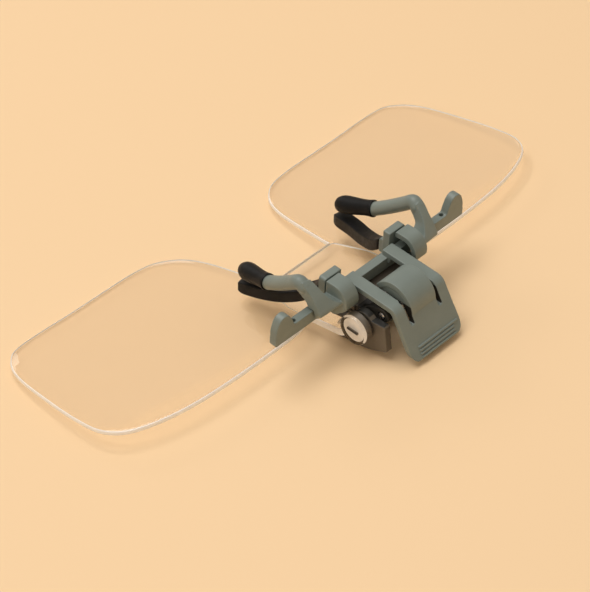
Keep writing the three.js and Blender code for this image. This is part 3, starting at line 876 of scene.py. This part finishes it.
def holder_cap():
    plate = bevelled(prism(
        fillet([(-7.1, 3.3), (7.1, 3.3), (7.1, 7.0), (-7.1, 7.0)], 0.5), -2.1, -0.95, "Z"),
        0.16)
    recesses = []
    for side in SIDES:
        recesses.append(screw_hole(side, SCREW_CLEARANCE, -3))
        recesses.append(screw_hole(side, 1.3, -1.75, 32))
    return cut(plate, *recesses)


def cap_screw(side):
    """A screw with a cross slot in its head."""
    x, y = side * SCREW[0], SCREW[1]
    body = lathe([
        (0, -6.0), (0.4, -6.0), (0.55, -5.8), (0.55, -1.6), (1.0, -1.6), (1.1, -1.5),
        (1.1, -1.3), (0.85, -1.06), (0.4, -1.0), (0, -1.0),
    ], (x, y, 0), (0, 0, 1), 32)
    slots = [
        block((x - a, x + a), (y - b, y + b), (-1.3, -0.5))
        for a, b in ((0.8, 0.14), (0.14, 0.8))
    ]
    return cut(body, *slots)


# ---------------------------------------------------------------- lens plate

LENS_BRIDGE = (-4.0, -2.4)
LOBE_EDGE = (-3.4, -2.4)
CROWN_TOP, CROWN_UNDER = 0.95, 0.6
LOBE_CENTRE = (34.5, 31.5, 0)
LOBE = [
    (8.6, 30.0), (8.3, 24.0), (9.6, 16.0), (13.5, 11.2), (21.0, 10.1), (36.0, 10.2),
    (47.0, 11.5), (55.5, 14.6), (59.3, 19.2), (60.0, 26.0), (59.5, 35.0), (58.2, 45.4),
    (55.6, 50.9), (51.0, 53.2), (37.0, 53.0), (20.8, 52.6), (14.4, 49.8), (10.7, 43.4),
]


def lobe(side):
    """One magnifying lobe: both faces slightly crowned, with a narrow rounded rim."""
    rim = spline([(x, y, 0) for x, y in LOBE], 144, closed=True)
    centre = Vector(LOBE_CENTRE)
    bottom, top = LOBE_EDGE

    def ring(share, inset, z):
        """The rim shrunk to a share of its size, and by an inset in millimetres."""
        points = []
        for p in rim:
            out = p - centre
            at = centre + out * share - out.normalized() * inset
            points.append((side * at.x, at.y, z))
        return points

    shares = [0.02] + [k / 14 for k in range(1, 14)] + [0.965]
    upper = [ring(s, 0, top + CROWN_TOP * (1 - s * s)) for s in shares]
    lower = [ring(s, 0, bottom - CROWN_UNDER * (1 - s * s)) for s in shares]
    edge = [
        ring(1, 0.34, top - 0.02), ring(1, 0.14, top - 0.12), ring(1, 0.0, top - 0.38),
        ring(1, 0.0, bottom + 0.38), ring(1, 0.14, bottom + 0.12), ring(1, 0.34, bottom + 0.02),
    ]
    return loft(upper + edge + lower[::-1])


def lens_plate():
    """Both lobes, the bridge between them and the tab that the holder clamps."""
    outline = [
        (-11.4, 3.3, 1.4), (11.4, 3.3, 1.4), (11.6, 18.0, 1.0), (9.6, 26.2, 1.0),
        (-9.6, 26.2, 1.0), (-11.6, 18.0, 1.0),
    ]
    bridge = bevelled(
        prism(fillet(outline, 1.0, 10), *LENS_BRIDGE, "Z"), 0.18)
    body = union(bridge, lobe(LEFT), lobe(RIGHT))
    return cut(body, *[screw_hole(side, SCREW_CLEARANCE, -6) for side in SIDES])


# ---------------------------------------------------------------- painted faces

# Which faces of a piece take its second or third material: mostly painted shade, and the
# painted highlight on the lens rim. Each test is asked with the middle and the normal of a
# face, in the piece's own frame.

# Where the front of the base, which takes painted shade, ends and its neck begins.
BASE_FRONT = -2.6


def slot_wall_shade(at, n):
    """The side walls of the slots in the thumb plate, which take painted shade."""
    return (at.y < -10.9 and -2.62 < at.z < 0.7 and 3.3 < abs(at.x) < 4.6
            and abs(n.x) > 0.6)


def under_lever_shade(at, _):
    """The front of the base, between the rails, which takes painted shade."""
    return at.y < BASE_FRONT and abs(at.x) < 7.0


def window_warm_shade(at, _):
    """The neck, where it shows between crossbar and tongue. It takes the dark brown moulding
    colour as painted shade, warmed by the floor's reflected light.
    """
    return at.y >= BASE_FRONT and at.z < -2.9 and (
        abs(at.x) < 6.78 or at.y < 2.0 and abs(at.x) < 8.4)


def cheek_top_shade(at, n):
    """The top of the holder's cheeks, which takes painted shade."""
    return n.z > 0.75 and at.z > -1.0


def rim_highlight_faces(_, n):
    """The edge of the lens plate, which takes the painted rim highlight."""
    return abs(n.z) < 0.97


def from_axis(at):
    return math.hypot(at.y - FLIP[0], at.z - FLIP[1])


def in_core(at, _):
    """The knob's opaque core."""
    return abs(at.x) < CORE_FACE + 0.03 and from_axis(at) < CORE_RADIUS + 0.02


def core_face(at, n):
    return in_core(at, n) and n.x < -0.9 and at.x < -10.7


def knob_slot_shade(at, _):
    """The walls and floor of the knob's slot, which take the dark moulding colour as painted
    shade.
    """
    return from_axis(at) < 1.6 and -11.79 < at.x < -11.15


# ---------------------------------------------------------------- assembly

lever = placed(
    thumb_lever(), "thumb_lever", CLIP, [GREY, PAINTED_SHADE], "lever")
# Painted shade on the side walls of the thumb plate's slots.
paint_faces(lever, CLIP, slot_wall_shade, 1)
base = placed(
    clip_base(), "clip_base", CLIP, [GREY, PAINTED_SHADE, DARK], "base")
# Painted shade on the front of the base under the lever.
paint_faces(base, CLIP, under_lever_shade, 1)
# Painted shade, brown as if warmed by the floor's reflected light, on the neck seen through the
# window.
paint_faces(base, CLIP, window_warm_shade, 2)
placed(pivot_pin(), "pivot_pin", CLIP, STEEL, "base", 40)
placed(torsion_spring(), "torsion_spring", CLIP, STEEL, "base")
hinge_block = placed(holder(), "lens_holder", LENS, [DARK, PAINTED_SHADE], "lens")
# Painted shade on the tops of the holder's cheeks.
paint_faces(hinge_block, LENS, cheek_top_shade, 1)
placed(holder_cap(), "holder_cap", LENS, DARK, "lens", 40)
plate = placed(
    lens_plate(), "lens_plate", LENS, [ACRYLIC, RIM_HIGHLIGHT], "lens", 35)
# Painted highlight on the rim of the lens plate.
paint_faces(plate, LENS, rim_highlight_faces, 1)

for side, hand, hinge_body in ((LEFT, "left", "knob"), (RIGHT, "right", "lens")):
    placed(upper_arm(side), f"upper_arm_{hand}", CLIP, GREY, "lever")
    placed(upper_tip(side), f"upper_tip_{hand}", CLIP, RUBBER, "lever", 50)
    placed(lower_pad(side), f"lower_pad_{hand}", CLIP, RUBBER, "base", 50)
    placed(cap_screw(side), f"cap_screw_{hand}", LENS, STEEL, "lens", 35)
    placed(bolt(side), f"hinge_bolt_{hand}", CLIP, STEEL, hinge_body, 35)
    placed(washer(side), f"hinge_washer_{hand}", CLIP, STEEL, hinge_body, 35)

placed(nut(), "hinge_nut_right", CLIP, STEEL, "lens", 30)
wheel = placed(
    knob(), "hinge_knob_left", CLIP, [KNOB_SIDE, KNOB_FACE, DARK], "knob",
    35)
paint_faces(wheel, CLIP, in_core, 2)
paint_faces(wheel, CLIP, core_face, 1)
# Painted shade in the knob's slot.
paint_faces(wheel, CLIP, knob_slot_shade, 2)

# ---------------------------------------------------------------- floor, light and camera

FLOOR_HALF = 3
# Azimuth and elevation in degrees, then the angle that both are leaned by.
CAMERA_ANGLES = (-45.83, 43.29, 6.7)
CAMERA_PLACE = (-235.63, -208.10, 288.53)
CAMERA_LENS = 135.48


def floor():
    mesh = bpy.data.meshes.new("floor")
    half = FLOOR_HALF
    mesh.from_pydata(
        [(-half, -half, 0), (half, -half, 0), (half, half, 0), (-half, half, 0)], [],
        [(0, 1, 2, 3)])
    obj = bpy.data.objects.new("floor", mesh)
    scene.collection.objects.link(obj)
    material, tree, shader = node_material("floor_card")
    tree.links.new(
        ramp(tree, noise(tree, 3, 3), (0.975, 0.70, 0.42), (0.99, 0.715, 0.435)),
        shader.inputs["Base Color"])
    shader.inputs["Roughness"].default_value = 0.7
    shader.inputs["Specular IOR Level"].default_value = 0.25
    bump(tree, shader, noise(tree, 1500, 3), 0.05, 0.0001)
    mesh.materials.append(material)


def softbox(name, place, size, power, colour):
    """A soft lamp aimed at the part."""
    data = bpy.data.lights.new(name, "AREA")
    data.shape = "RECTANGLE"
    data.size, data.size_y = size
    data.energy = power
    data.color = colour
    obj = bpy.data.objects.new(name, data)
    scene.collection.objects.link(obj)
    obj.location = place
    obj.rotation_euler = (-Vector(place)).to_track_quat("-Z", "Y").to_euler()


def camera():
    data = bpy.data.cameras.new("camera")
    data.sensor_fit = "HORIZONTAL"
    data.sensor_width = 36
    data.lens = CAMERA_LENS
    data.clip_start, data.clip_end = 0.01, 20
    obj = bpy.data.objects.new("camera", data)
    scene.collection.objects.link(obj)
    azimuth, elevation, tip = (math.radians(a) for a in CAMERA_ANGLES)
    back = Vector((
        math.sin(azimuth) * math.cos(elevation), -math.cos(azimuth) * math.cos(elevation),
        math.sin(elevation)))
    right = Vector((0, 0, 1)).cross(back).normalized()
    up = back.cross(right)
    lean = Matrix.Rotation(tip, 3, "X")
    axes = Matrix([lean @ right, lean @ up, lean @ back]).transposed()
    place = lean @ Vector(CAMERA_PLACE) + clip_origin
    obj.matrix_world = Matrix.Translation(place * MM) @ axes.to_4x4()
    scene.camera = obj


def light():
    world = bpy.data.worlds.new("studio")
    world.use_nodes = True
    sky = world.node_tree.nodes["Background"]
    sky.inputs["Color"].default_value = (1.0, 0.90, 0.78, 1)
    sky.inputs["Strength"].default_value = 0.42
    scene.world = world
    softbox("overhead", (-0.1, 0.2, 0.95), (0.8, 0.6), 5.4, (1, 0.995, 0.985))
    softbox("back", (0.1, 1.1, 0.55), (0.6, 0.25), 1.0, (1, 0.99, 0.97))
    softbox("side", (-0.9, -0.1, 0.6), (0.5, 0.5), 0.8, (1, 0.96, 0.9))
    scene.view_settings.view_transform = "Standard"


floor()
light()
camera()
